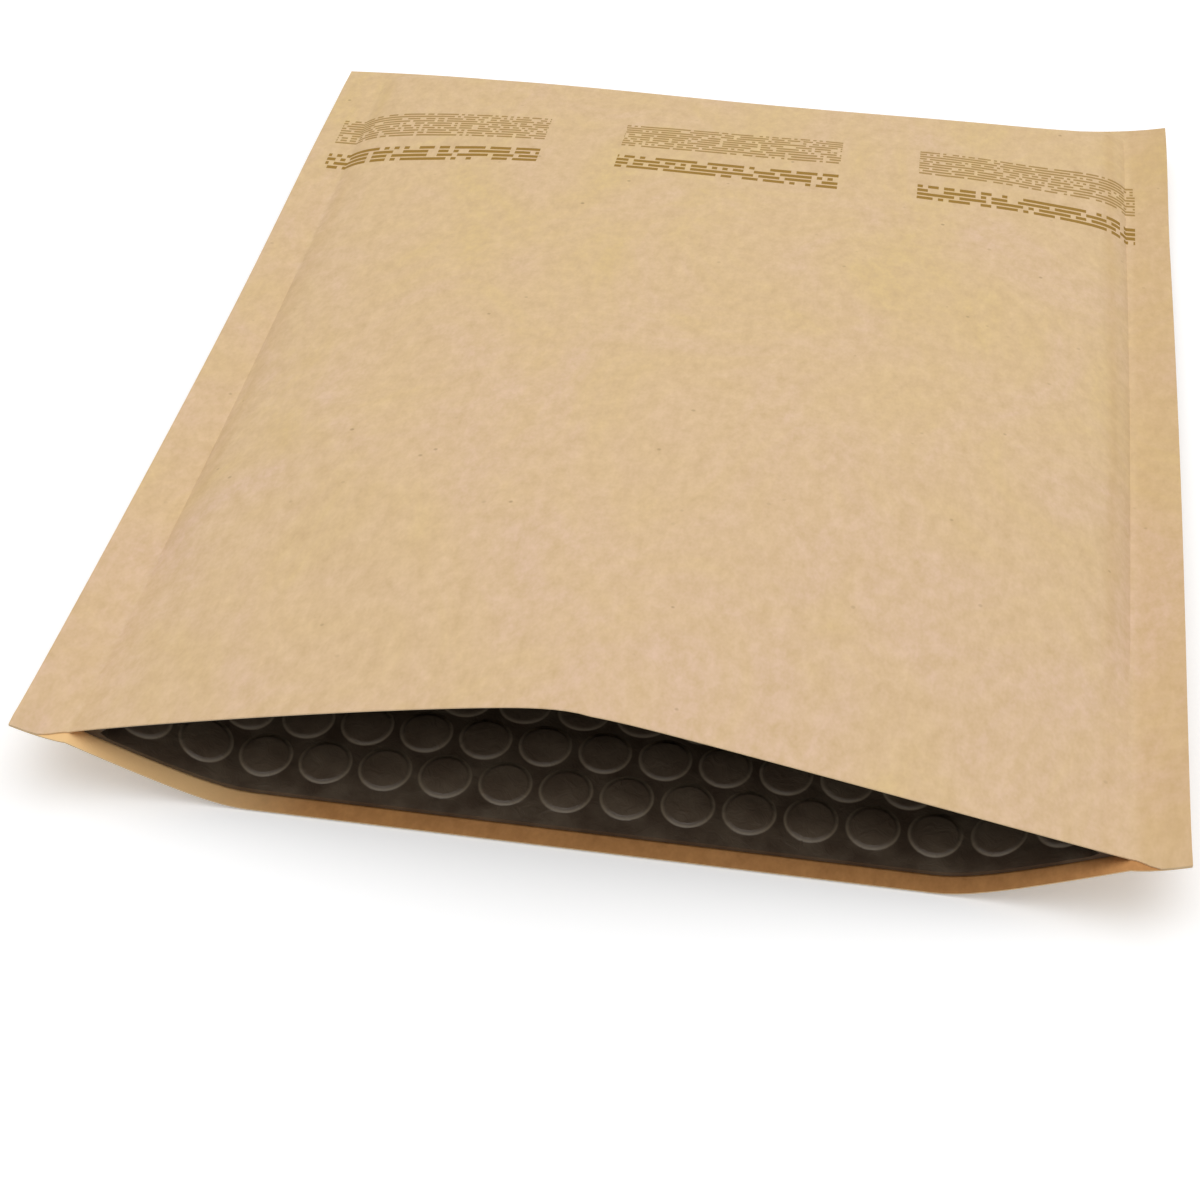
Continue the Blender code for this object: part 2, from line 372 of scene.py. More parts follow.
    def relief(self, v: np.ndarray, s: np.ndarray, x: np.ndarray) -> np.ndarray:
        """How far the front panel stands from its plain shape.

        It is a swell over the left half of the lip, a sum of seeded sine waves that run every
        way, and three crossed cosines whose crests are the air cells. The waves and the cells
        fade out at the seams, the lip and the fold.

        Args:
            v, s: the place on the panel.
            x: the same place across, in metres.

        Returns:
            The height at each place.
        """
        swell = np.sin(math.pi * np.clip(-s, 0.0, 1.0)) ** self.swell_power
        swell = self.swell * swell * (1.0 - smooth_step(v / self.swell_length))
        inward = 1.0 - np.abs(np.clip(s, -1.0, 1.0)) ** 8
        inward = inward * smooth_step(v / self.slack_start)
        inward = inward * (1.0 - smooth_step((v - self.slack_end) / self.slack_fade))

        random = np.random.default_rng(self.slack_seed)
        shortest, longest = self.slack_lengths
        least, most = (shortest, 0.0, 0.0), (longest, math.pi, math.tau)
        waves = 0.0
        for _ in range(self.slack_waves):
            length, heading, phase = random.uniform(least, most)
            along = x * math.cos(heading) + v * math.sin(heading)
            waves = waves + np.sin(math.tau * along / length + phase) / math.sqrt(self.slack_waves)

        step = math.tau / self.cell_pitch
        cells = np.cos(step * (x - v / math.sqrt(3.0))) + np.cos(step * (x + v / math.sqrt(3.0)))
        cells = (cells + np.cos(step * 2.0 * v / math.sqrt(3.0))) / 3.0
        patches = smooth_step(0.5 + self.cell_patches * waves)
        return swell + inward * (self.slack * waves + self.cell_show * patches * cells)

    def into_fold(self, v: np.ndarray) -> np.ndarray:
        """0 where the panels start to round into the fold, and 1 at its tip."""
        return np.clip((v - self.nose_start) / self.fold_nose, 0.0, 1.0)

    def nose(self, v: np.ndarray) -> np.ndarray:
        """1 where the panels start to round into the fold, and 0 at its tip."""
        return (1.0 - self.into_fold(v) ** 2) ** self.fold_point

    def fold_rise(self, v: np.ndarray, x: np.ndarray, height: np.ndarray) -> np.ndarray:
        """How far the closed end stands up from flat.

        The right corner curls up with the cube of x. The fold's line is a cosine across, and
        the left corner droops with the square of x; both die out where the sheet lies flat.

        Args:
            v: the way in.
            x: the place across, in metres.
            height: the panel's height before this.

        Returns:
            The height to add at each place.
        """
        along = smooth_step((v - self.panel_length) / self.corner_lift_length + 1.0)
        edge = self.panel_width / 2.0
        curl = self.corner_lift * np.clip((x - edge) / self.corner_lift_width + 1.0, 0.0, 1.0) ** 3
        turn = math.tau * (x - self.fold_wave_crest) / self.fold_wave_length
        droop = np.clip((-x - edge) / self.corner_droop_width + 1.0, 0.0, 1.0) ** 2
        line = self.fold_wave * np.cos(turn) - self.corner_droop * droop
        return along * (curl + line * np.clip(height / self.fold_height, 0.0, 1.0))

    def inside_height(
        self, panel: Panel, v: np.ndarray, s: np.ndarray, q: np.ndarray | float, x: np.ndarray
    ) -> np.ndarray:
        """The height of a panel's inside.

        It is the seams' height, plus the panel's shape times its rise, plus the flare across
        the seams, drawn in to the fold's height over the nose.

        Args:
            panel: the front or the back panel.
            v, s, q: the place on the panel.
            x: the same place across, in metres.

        Returns:
            The height at each place.
        """
        seam = self.seam(v)
        if panel is Panel.FRONT:
            height = seam + self.rise(v) * self.front_shape(v, s) + self.relief(v, s, x)
        else:
            rise = seam - self.kraft_thickness
            height = self.kraft_thickness + rise * self.back_shape(v, s)
        height = height + self.flare(v) * np.abs(q) ** self.flare_power
        height = self.fold_height + (height - self.fold_height) * self.nose(v)
        return height + self.fold_rise(v, x, height)

    def place(
        self, v: np.ndarray, x: np.ndarray, z: np.ndarray, fold_inset: float = 0.0
    ) -> np.ndarray:
        """Stacks x, y and z, with y measured from the envelope's middle.

        The sheet leans and bows to the right a little, by half a sine wave from end to end.

        Args:
            v: the way in from the front lip.
            x: the place across.
            z: the height.
            fold_inset: the room left free at the fold's tip.

        Returns:
            An array whose last axis is x, y and z.
        """
        middle = (self.panel_length - self.lip_lead) / 2.0
        y = v - fold_inset * self.into_fold(v) - middle
        along = np.clip(v / self.panel_length, 0.0, 1.0)
        x = x + self.lean * along + self.bow * np.sin(math.pi * along)
        return np.stack(np.broadcast_arrays(x, y, z), axis=-1)


@dataclass(frozen=True)
class PrintRows:
    """Rows of plain dashes: each row is a line of short cells, and chance inks most of them."""

    start: float  # v of the first row's lower edge, in metres
    rows: int
    pitch: float
    cell: float
    stroke: float  # the share of the pitch that a dash is high
    strength: float
    inked: float = 0.80  # the share of the cells

    def cover(self, tree: bpy.types.NodeTree, flat: bpy.types.Node) -> bpy.types.Node:
        """Draws the rows all across the sheet.

        Args:
            tree: the paper's node tree.
            flat: the place on the flat sheet.

        Returns:
            How much ink covers the paper, from 0 to 1.
        """
        cells = (1.0 / self.cell, 1.0 / self.pitch, 0.0)
        first = (0.0, -self.start / self.pitch, 0.0)
        scaled = add_node(
            tree, "VectorMath", {0: flat, 1: cells, 2: first}, operation="MULTIPLY_ADD"
        )
        cell = add_node(tree, "VectorMath", {0: scaled}, operation="FLOOR")
        chance = add_node(tree, "TexWhiteNoise", {"Vector": cell}, noise_dimensions="2D")
        row = add_node(tree, "SeparateXYZ", {0: scaled}).outputs["Y"]
        share = add_node(tree, "Math", {0: row}, operation="FRACT")
        cover = self.strength
        for value, middle, reach in (
            (chance, self.inked / 2.0, self.inked / 2.0),
            (share, 0.5, self.stroke / 2.0),
            (row, self.rows / 2.0, self.rows / 2.0),
        ):
            passed = add_node(tree, "Math", {0: value, 1: middle, 2: reach}, operation="COMPARE")
            cover = add_node(tree, "Math", {0: cover, 1: passed}, operation="MULTIPLY")
        return cover


@dataclass(frozen=True)
class PrintBand:
    """The printed band near the fold: fine and heavy rows of dashes, in three blocks."""

    ink: str = "#9A7420"
    fine: PrintRows = PrintRows(0.2363, 10, 0.00136, 0.00080, 0.60, 0.76)
    heavy: PrintRows = PrintRows(0.2224, 4, 0.00215, 0.00130, 0.70, 0.97, inked=0.74)
    block: float = 0.055  # how wide a block is
    pitch: float = 0.0745  # from block to block
    centre: float = -0.0015  # the middle of the middle block

    def cover(self, tree: bpy.types.NodeTree) -> bpy.types.Node:
        """Draws the band on the sheet's flat map.

        Args:
            tree: the paper's node tree.

        Returns:
            How much ink covers the paper, from 0 to 1.
        """
        flat = add_node(tree, "UVMap", uv_map=SHEET_MAP)
        across = add_node(tree, "SeparateXYZ", {0: flat}).outputs["X"]
        aside = add_node(tree, "Math", {0: across, 1: self.centre}, operation="SUBTRACT")
        away = add_node(tree, "Math", {0: aside, 1: self.pitch / 2.0}, operation="PINGPONG")
        in_block = add_node(tree, "Math", {0: away, 1: self.block / 2.0}, operation="LESS_THAN")
        fine, heavy = self.fine.cover(tree, flat), self.heavy.cover(tree, flat)
        rows = add_node(tree, "Math", {0: fine, 1: heavy}, operation="MAXIMUM")
        return add_node(tree, "Math", {0: rows, 1: in_block}, operation="MULTIPLY")


@dataclass(frozen=True)
class KraftPaper:
    """Unbleached kraft paper, calendered: matt, with a pink and yellow mottle of short fibres.

    Each scale is how many of a pattern's largest features there are to the metre.
    """

    warm: str = "#E6C5AA"
    yellow: str = "#E3C68D"
    shade: str = "#D2B286"
    fleck: str = "#8C6A44"
    roughness: float = 0.86
    ior: float = 1.5  # cellulose
    # The colour and share of the painted tone: painted shade on the outside, painted light on the
    # inside
    painted_tone_colour: str = "#B98C40"
    painted_tone_share: float = 0.14
    grain_length: float = 0.6  # the fibres lie along the roll, so the grain is drawn out by this
    clump_scale: float = 290.0  # clumps of fibres, 3.4 mm and finer
    drift_scale: float = 30.0  # the pulp's hue drifts over 33 mm and less
    drift_at_lip: float = -0.10  # the paper is pinker at the lip
    drift_inside: float = 0.06  # and yellower further in
    drift_length: float = 0.20
    fleck_scale: float = 420.0  # flecks of bark up to 1 mm across, as coarse as they need to show
    grain_scale: float = 1900.0  # the felt side's grain, about 0.5 mm
    grain_depth: float = 0.00003
    crinkle_scale: float = 170.0  # crinkles of 6 mm and finer
    crinkle_depth: float = 0.00010
    print_band: PrintBand | None = None

    def tints(
        self, tree: bpy.types.NodeTree, flat: bpy.types.Node, along: bpy.types.Node
    ) -> list[tuple[bpy.types.Node, str]]:
        """Draws the pulp's tints, the painted light and shade, and the print on top of them.

        Args:
            tree: the paper's node tree.
            flat: the place on the flat sheet.
            along: the same, drawn out along the roll.

        Returns:
            The share and the colour of each tint, from the lowest up.
        """
        drift = add_node(
            tree,
            "TexNoise",
            {
                "Vector": along,
                "Scale": self.drift_scale,
                "Detail": 4.0,
                "Roughness": 0.72,
                "Distortion": 0.8,
            },
        )
        ends = add_node(
            tree,
            "MapRange",
            {
                "Value": add_node(tree, "SeparateXYZ", {0: flat}).outputs["Y"],
                "From Max": self.drift_length,
                "To Min": self.drift_at_lip,
                "To Max": self.drift_inside,
            },
        )
        drifted = add_node(tree, "Math", {0: drift, 1: ends}, operation="ADD")
        yellowed = add_node(tree, "MapRange", {"Value": drifted, "From Min": 0.3, "From Max": 0.7})
        clumps = add_node(
            tree,
            "TexNoise",
            {
                "Vector": along,
                "Scale": self.clump_scale,
                "Detail": 3.0,
                "Roughness": 0.8,
                "Lacunarity": 1.9,
            },
        )
        shaded = add_node(tree, "MapRange", {"Value": clumps, "From Min": 0.25, "From Max": 0.75})
        # A fleck is the middle of a Voronoi cell, in one cell of some hundreds
        flecks = add_node(tree, "TexVoronoi", {"Vector": flat, "Scale": self.fleck_scale})
        rare = add_node(
            tree,
            "MapRange",
            {"Value": flecks.outputs["Color"], "From Min": 0.86, "From Max": 0.98, "To Max": 0.55},
        )
        small = add_node(
            tree,
            "MapRange",
            {"Value": flecks, "From Min": 0.12, "From Max": 0.24, "To Min": 1.0, "To Max": 0.0},
        )
        flecked = add_node(tree, "Math", {0: rare, 1: small}, operation="MULTIPLY")
        # Painted tone from the sheet: shade in the creases and over the right seam outside, light
        # on the inside's left
        painted_tone = add_node(tree, "Attribute", attribute_name="painted_tone").outputs["Fac"]
        painted_share = add_node(tree, "Math", {0: painted_tone, 1: self.painted_tone_share}, operation="MULTIPLY")
        tints = [
            (yellowed, self.yellow),
            (shaded, self.shade),
            (flecked, self.fleck),
            (painted_share, self.painted_tone_colour),
        ]
        if self.print_band:
            tints.append((self.print_band.cover(tree), self.print_band.ink))
        return tints

    def material(self, name: str) -> bpy.types.Material:
        """Builds the paper's material.

        Args:
            name: the material's name.

        Returns:
            The material.
        """
        material, tree = new_material(name)
        flat = add_node(tree, "UVMap", uv_map=SHEET_MAP)
        roll = (1.0, self.grain_length, 1.0)
        along = add_node(tree, "VectorMath", {0: flat, 1: roll}, operation="MULTIPLY")
        colour = linear(self.warm)
        for share, tint in self.tints(tree, flat, along):
            mixed = {"Factor": share, "A": colour, "B": linear(tint)}
            colour = add_node(tree, "Mix", mixed, data_type="RGBA")
        grain = add_node(tree, "TexNoise", {"Vector": flat, "Scale": self.grain_scale})
        crinkles = add_node(
            tree,
            "TexNoise",
            {"Vector": along, "Scale": self.crinkle_scale, "Detail": 3.0, "Distortion": 0.6},
        )
        rough = add_node(tree, "Bump", {"Distance": self.grain_depth, "Height": grain})
        crinkled = add_node(
            tree, "Bump", {"Distance": self.crinkle_depth, "Height": crinkles, "Normal": rough}
        )
        shader = add_node(
            tree,
            "BsdfPrincipled",
            {
                "Base Color": colour,
                "Roughness": self.roughness,
                "IOR": self.ior,
                "Normal": crinkled,
            },
        )
        show_shader(tree, shader)
        return material


@dataclass(frozen=True)
class CellLayout:
    """The film's cells on the flat: round cells in rows, each row half a pitch aside."""

    half_width: float
    start: float
    end: float
    pitch: float
    across: int = 16
    along: int = 25
    radius: float = 0.0050
    reach: float = 1.2  # how far out a cell's distance is told, in radii
    lip_margin: float = 0.0015
    rings: tuple[float, ...] = (0.55, 0.88, 1.0)
    margin_steps: tuple[float, ...] = (0.30, 0.60, 0.753, 0.883, 0.970, 1.0)

    @property
    def row_pitch(self) -> float:
        """From one row of cells to the next: the height of an even-sided triangle."""
        return self.pitch * math.sqrt(0.75)

    def centres(self) -> np.ndarray:
        """Finds the cells' middles, where every second row has one cell less.

        Returns:
            The place of each on the flat.
        """
        row, column = np.divmod(np.arange(self.along * self.across), self.across)
        x = (column - (self.across - 1) / 2.0 + 0.5 * (row % 2)) * self.pitch
        first = self.start + self.lip_margin + self.pitch / math.sqrt(3.0)
        v = first + row * self.row_pitch
        kept = (row % 2 == 0) | (column < self.across - 1)
        return np.stack((x, v), -1)[kept]

    def tile(self) -> tuple[np.ndarray, np.ndarray]:
        """Makes one cell's tile: rings about its middle, and a six-sided border.

        Returns:
            The points about the cell's middle, and the triangles between them.
        """
        sides = 6
        count = 2 * sides  # a ring has a point for each side's middle and each corner
        here = np.arange(count)
        there = (here + 1) % count
        angles = here * math.pi / sides
        ring = np.stack((np.cos(angles), np.sin(angles)), -1)
        border = np.where(here % 2, self.pitch / math.sqrt(3.0), self.pitch / 2.0)
        loops = [share * self.radius * ring for share in self.rings] + [border[:, None] * ring]
        points = np.concatenate([np.zeros((1, 2)), *loops])
        triangles = [np.stack((np.zeros(count, int), 1 + here, 1 + there), -1)]
        for inner in range(1, count * len(self.rings), count):
            outer = inner + count
            triangles.append(np.stack((inner + here, outer + here, outer + there), -1))
            triangles.append(np.stack((inner + here, outer + there, inner + there), -1))
        return points, np.concatenate(triangles)

    def lay_out(self) -> tuple[np.ndarray, np.ndarray, np.ndarray]:
        """Lays the tiles side by side and fills the margin around them.

        Each point of the tiles' border gets a row of points straight out to the film's edge.

        Returns:
            The points on the flat, how far each is from its cell's middle, in radii, and the
            triangles.
        """
        tile, tile_triangles = self.tile()
        centres = self.centres()
        points = (centres[:, None] + tile).reshape(-1, 2)
        away = np.tile(np.linalg.norm(tile, axis=-1) / self.radius, len(centres))
        first_of_tile = np.arange(len(centres))[:, None, None] * len(tile)
        triangles = (first_of_tile + tile_triangles).reshape(-1, 3)
        _, kept, merged = np.unique(
            np.round(points / NEAR).astype(int), axis=0, return_index=True, return_inverse=True
        )
        points, away, triangles = points[kept], away[kept], merged.reshape(-1)[triangles]

        edges = border_edges(triangles)
        rim = np.unique(edges)
        side = np.stack((np.sign(points[rim, 0]) * self.half_width, points[rim, 1]), -1)
        lip = np.stack((points[rim, 0], np.full(len(rim), self.start)), -1)
        fold = np.stack((points[rim, 0], np.full(len(rim), self.end)), -1)
        first, last = centres[:, 1].min(), centres[:, 1].max()
        target = np.where(points[rim, 1:] < first - NEAR, lip, side)
        target = np.where(points[rim, 1:] > last + NEAR, fold, target)

        number = np.searchsorted(rim, edges)
        count = len(points)
        steps = count + np.arange(len(self.margin_steps) * len(rim)).reshape(-1, len(rim))
        rows = [rim, *steps]
        strips = []
        for inner, outer in zip(rows, rows[1:]):
            a, b = number.T
            strips.append(np.stack((inner[b], inner[a], outer[a]), -1))
            strips.append(np.stack((inner[b], outer[a], outer[b]), -1))
        margin = [points[rim] + share * (target - points[rim]) for share in self.margin_steps]
        sides = (-self.half_width, self.half_width)
        corners = np.array([(x, v) for v in (self.start, self.end) for x in sides])
        a, b = number.T
        turns = (target[a] != target[b]).all(axis=1)
        a, b = a[turns], b[turns]
        middles = (target[a] + target[b]) / 2.0
        nearest = np.linalg.norm(middles[:, None] - corners, axis=-1).argmin(axis=1)
        first_corner = count + steps.size
        strips.append(np.stack((rows[-1][b], rows[-1][a], first_corner + nearest), -1))
        points = np.concatenate((points, *margin, corners))
        away = np.concatenate((away, np.full(len(points) - len(away), self.reach)))
        return points, np.minimum(away, self.reach), np.concatenate((triangles, *strips))


@dataclass(frozen=True)
class CellFilm:
    """Clear polyethylene film, formed into air cells and laid flat over kraft.

    The paper shows through it, greyed, and the whole film is drawn darker still as painted shade,
    as the pocket lies in shadow. Each cell's wall is a paler ring, because it is seen through its
    edge, with a painted highlight on it.
    """

    layout: CellLayout
    # All three are darker than film over kraft would be: painted shade; the ring is partly a
    # painted highlight
    over_cell: str = "#5C4E40"
    over_land: str = "#4A3D31"
    ring: str = "#8B7D69"
    ior: float = 1.51  # polyethylene
    clean_roughness: float = 0.22
    marked_roughness: float = 0.44
    wall_relief: float = 0.0006
    bare_from: float = 0.985  # the "cell" number from which there are no cells
    mark_scale: float = 130.0  # to the metre: marks of 8 mm and less
    pucker_scale: float = 320.0  # to the metre: puckers of 3 mm and less in the slack film
    pucker_depth: float = 0.00025

    def cell_distance(self, tree: bpy.types.NodeTree, flat: bpy.types.Node) -> bpy.types.Node:
        """Finds how far each place is from its cell's middle.

        The rows of cells are two square-cornered lattices, half a pitch aside. The flat map is
        wrapped round each of them, and the lesser distance counts.

        Args:
            tree: the film's node tree.
            flat: the place on the flat film.

        Returns:
            The distance as a share of the layout's reach, and 1 where there are no cells.
        """
        layout = self.layout
        half = np.array((layout.pitch / 2.0, layout.row_pitch))
        distances = []
        for middle in layout.centres()[[0, layout.across]]:
            top, bottom = (*(middle + half), 1.0), (*(middle - half), -1.0)
            local = add_node(tree, "VectorMath", {0: flat, 1: top, 2: bottom}, operation="WRAP")
            distances.append(
                add_node(tree, "VectorMath", {0: local, 1: (*middle, 0.0)}, operation="DISTANCE")
            )
        even, odd = distances
        nearest = add_node(tree, "Math", {0: even, 1: odd}, operation="MINIMUM")
        reach = layout.reach * layout.radius
        share = add_node(tree, "Math", {0: nearest, 1: reach}, operation="DIVIDE")
        cell = add_node(tree, "Attribute", attribute_name="cell").outputs["Fac"]
        bare = add_node(tree, "Math", {0: cell, 1: self.bare_from}, operation="GREATER_THAN")
        return add_node(tree, "Math", {0: share, 1: bare}, operation="MAXIMUM")

    def material(self, name: str) -> bpy.types.Material:
        """Builds the film's material.

        Args:
            name: the material's name.

        Returns:
            The material.
        """
        material, tree = new_material(name)
        flat = add_node(tree, "UVMap", uv_map=SHEET_MAP)
        cell = self.cell_distance(tree, flat)
        zones = add_node(tree, "ValToRGB", {"Fac": cell})
        ramp = zones.color_ramp.elements
        stops = (
            (0.0, self.over_cell),
            (0.72, self.over_cell),
            (0.81, self.ring),
            (0.87, self.over_land),
        )
        for number, (place, colour) in enumerate(stops):
            stop = ramp[number] if number < 2 else ramp.new(place)
            stop.position = place
            stop.color = linear(colour)
        # Blocking marks, where two plies of film were pressed together on the roll
        marks = add_node(
            tree, "TexNoise", {"Vector": flat, "Scale": self.mark_scale, "Detail": 4.0}
        )
        marked = add_node(
            tree, "MapRange", {"Value": marks, "From Min": 0.4, "From Max": 0.75, "To Max": 0.35}
        )
        colour = add_node(
            tree, "Mix", {"Factor": marked, "A": zones, "B": linear(self.ring)}, data_type="RGBA"
        )
        roughness = add_node(
            tree,
            "MapRange",
            {"Value": marks, "To Min": self.clean_roughness, "To Max": self.marked_roughness},
        )
        puckers = add_node(
            tree,
            "TexNoise",
            {"Vector": flat, "Scale": self.pucker_scale, "Detail": 3.0, "Distortion": 1.2},
        )
        walls = add_node(
            tree,
            "MapRange",
            {"Value": cell, "From Min": 0.66, "From Max": 0.88, "To Min": 1.0, "To Max": 0.0},
            interpolation_type="SMOOTHSTEP",
        )
        puckered = add_node(tree, "Bump", {"Distance": self.pucker_depth, "Height": puckers})
        walled = add_node(
            tree, "Bump", {"Distance": self.wall_relief, "Height": walls, "Normal": puckered}
        )
        shader = add_node(
            tree,
            "BsdfPrincipled",
            {"Base Color": colour, "Roughness": roughness, "IOR": self.ior, "Normal": walled},
        )
        show_shader(tree, shader)
        return material


@dataclass
class KraftSheet:
    """The kraft sheet: one sheet from the front lip round the fold to the back lip."""

    form: EnvelopeForm
    outside: KraftPaper = KraftPaper(print_band=PrintBand())
    # The uncoated side's colours, drawn darker and more orange as painted shade from inside the
    # mouth; its pale tone is painted light
    inside: KraftPaper = KraftPaper(
        warm="#D2985E", yellow="#CC9254", shade="#B07A44", painted_tone_colour="#FAD094", painted_tone_share=0.85
    )
    cut_edge: KraftPaper = KraftPaper(
        warm="#E6CBA8", yellow="#E2C79C", shade="#D6B88C", painted_tone_share=0.0
    )
    row_step: float = 0.0020
    nose_steps: int = 12
    wide_columns: int = 40  # in half the pocket, up to s = dense_from
    dense_from: float = 0.90
    dense_columns: int = 16
    seam_columns: tuple[float, ...] = (0.08, 0.18, 0.32, 0.50, 0.70, 0.90, 1.0)  # their q
    seam_gap: float = 0.00003  # between the two panels' insides in a seam
    lip_flush: float = 0.55  # q from which the front lip is flush with the back one
    lip_reach: float = 0.010  # how far in the front panel is drawn out for that
    # The creases' painted shade, tinted ochre, where the valley beside each seam falls in shade
    left_crease_inset: float = 0.0030  # from a seam's inner edge to the middle of its crease
    right_crease_inset: float = 0.0042
    crease_reach: float = 0.0015
    crease_at_lip: float = 0.35  # how much of a crease is left at the lip
    crease_start: float = 0.030  # v from which it grows
    crease_full: float = 0.090  # v from which it is whole
    left_crease_shade: float = 0.60
    right_crease_shade: float = 1.20
    right_seam_shade: float = 1.25  # painted shade: how much darker the right seam is drawn, as it faces away from the light
    seam_shade_edge: float = 0.25  # q from which it does so in full
    painted_light_reach: float = 0.030  # painted light: the inside is paler this far in from the left side, then fades

    def columns(self) -> tuple[np.ndarray, np.ndarray]:
        """Lays out the columns, close together where the seams' creases are.

        Returns:
            s and q of each column.
        """
        wide = np.linspace(0.0, self.dense_from, self.wide_columns + 1)[:-1]
        right = np.append(wide, np.linspace(self.dense_from, 1.0, self.dense_columns + 1))
        pocket = np.concatenate((-right[:0:-1], right))
        seam = np.array(self.seam_columns)
        s = np.concatenate((np.full(len(seam), -1.0), pocket, np.ones(len(seam))))
        q = np.concatenate((-seam[::-1], np.zeros(len(pocket)), seam))
        return s, q

    def rows(self) -> np.ndarray:
        """Lays out the front panel's rows: even, and then at even angles round the nose.

        Returns:
            v of each row.
        """
        form = self.form
        body = np.linspace(0.0, form.nose_start, round(form.nose_start / self.row_step) + 1)
        angles = np.linspace(0.0, math.pi / 2.0, self.nose_steps + 1)[1:]
        return np.concatenate((body, form.nose_start + form.fold_nose * np.sin(angles)))

    def skins(self) -> tuple[np.ndarray, np.ndarray]:
        """Works out the sheet's two skins.

        The outside is the inside moved up on the front panel and down on the back one by the
        paper's thickness, and at the fold it goes round past the inside by as much. In the seams
        the front lip is drawn out to the back one.

        Returns:
            The outside's and the inside's points, in rows from the front lip to the back one.
        """
        form = self.form
        s, q = self.columns()
        rows = self.rows()[:, None]
        skins = []
        for depth in (form.kraft_thickness, 0.0):
            panels = []
            for panel in Panel:
                v = rows if panel is Panel.FRONT else rows[-2::-1]
                if panel is Panel.FRONT:
                    flush = smooth_step(np.abs(q) / self.lip_flush)
                    v = v - form.lip_lead * flush * np.clip(1.0 - v / self.lip_reach, 0.0, 1.0)
                x = s * form.half_width(v) + q * form.seam_reach(v)
                height = form.inside_height(panel, v, s, q, x)
                lift = panel.value * (self.seam_gap / 2.0 + depth) * form.nose(v)
                inset = form.kraft_thickness - depth
                panels.append(form.place(v, x, height + lift, fold_inset=inset))
            lip = panels[1][-1:] - (0.0, form.lip_lead, 0.0)
            skins.append(np.concatenate((*panels, lip)))
        return skins[0], skins[1]

    def flat_map(self, skin: np.ndarray) -> np.ndarray:
        """Unrolls a skin: the lengths run across its rows and along its middle column.

        Args:
            skin: the points of the skin, in rows.

        Returns:
            The place of each point on the flat sheet.
        """
        across = np.cumsum(np.linalg.norm(np.diff(skin, axis=1), axis=-1), axis=1)
        across = np.pad(across, ((0, 0), (1, 0)))
        across = across - across[:, across.shape[1] // 2, None]
        middle = skin[:, skin.shape[1] // 2]
        along = np.pad(np.cumsum(np.linalg.norm(np.diff(middle, axis=0), axis=-1)), (1, 0))
        return np.stack(np.broadcast_arrays(across, along[:, None]), axis=-1)

    def painted_tone(self, shape: tuple[int, int]) -> np.ndarray:
        """How much painted shade the outside gets: a bell over each seam's crease, and a step over
        the right seam.

        Args:
            shape: the number of rows and columns.

        Returns:
            A number for each point, from 0 up, where 1 is a plain crease's painted shade.
        """
        form = self.form
        s, q = self.columns()
        front = self.rows()
        v = np.concatenate((front, front[-2::-1], [0.0]))[:, None]
        away = (1.0 - np.abs(s)) * form.pocket_width - np.abs(q) * form.seam_width
        inset = np.where(s < 0.0, self.left_crease_inset, self.right_crease_inset)
        bell = np.exp(-(((away - inset) / self.crease_reach) ** 2))
        grown = smooth_step((v - self.crease_start) / (self.crease_full - self.crease_start))
        along = self.crease_at_lip + (1.0 - self.crease_at_lip) * grown
        painted_share = bell * along * np.where(s < 0.0, self.left_crease_shade, self.right_crease_shade)
        # Painted shade over the right seam, which faces away from the light
        seam_shade = self.right_seam_shade * smooth_step(q / self.seam_shade_edge)
        return np.broadcast_to(painted_share + seam_shade, shape)

    def painted_light(self, shape: tuple[int, int]) -> np.ndarray:
        """How much painted light the inside gets: all near the left side, and fading across the
        pocket.

        Args:
            shape: the number of rows and columns.

        Returns:
            A number from 0 to 1 for each point.
        """
        s, q = self.columns()
        away = (1.0 + s) * self.form.pocket_width + (1.0 + q) * self.form.seam_width
        return np.broadcast_to(1.0 - smooth_step(away / self.painted_light_reach - 1.0), shape)

    def build(self) -> bpy.types.Object:
        """Makes the sheet, dresses it and puts it in the place of its CAD solid.

        Returns:
            The sheet.
        """
        outside, inside = self.skins()
        rows, columns = outside.shape[:2]
        count = rows * columns
        skin = grid_triangles(rows, columns)
        rim = wall(border_edges(skin), 0, count)
        flat = self.flat_map(outside).reshape(-1, 2)
        # The outside carries its painted shade and the inside its painted light, in one attribute
        painted_tones = (self.painted_tone((rows, columns)).ravel(), self.painted_light((rows, columns)).ravel())
        sheet = make_piece(
            "folded_kraft_sheet",
            np.concatenate((outside.reshape(-1, 3), inside.reshape(-1, 3))),
            np.concatenate((skin, skin[:, ::-1] + count, rim)),
            np.concatenate((flat, flat)),
            {"painted_tone": np.concatenate(painted_tones)},
            [
                self.outside.material("kraft_paper_outside"),
                self.inside.material("kraft_paper_inside"),
                self.cut_edge.material("kraft_paper_cut_edge"),
            ],
            np.repeat([face.value for face in KraftFace], (len(skin), len(skin), len(rim))),
        )
        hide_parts("kraft_wrapper")
        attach(sheet, ROOT_BODY)
        return sheet


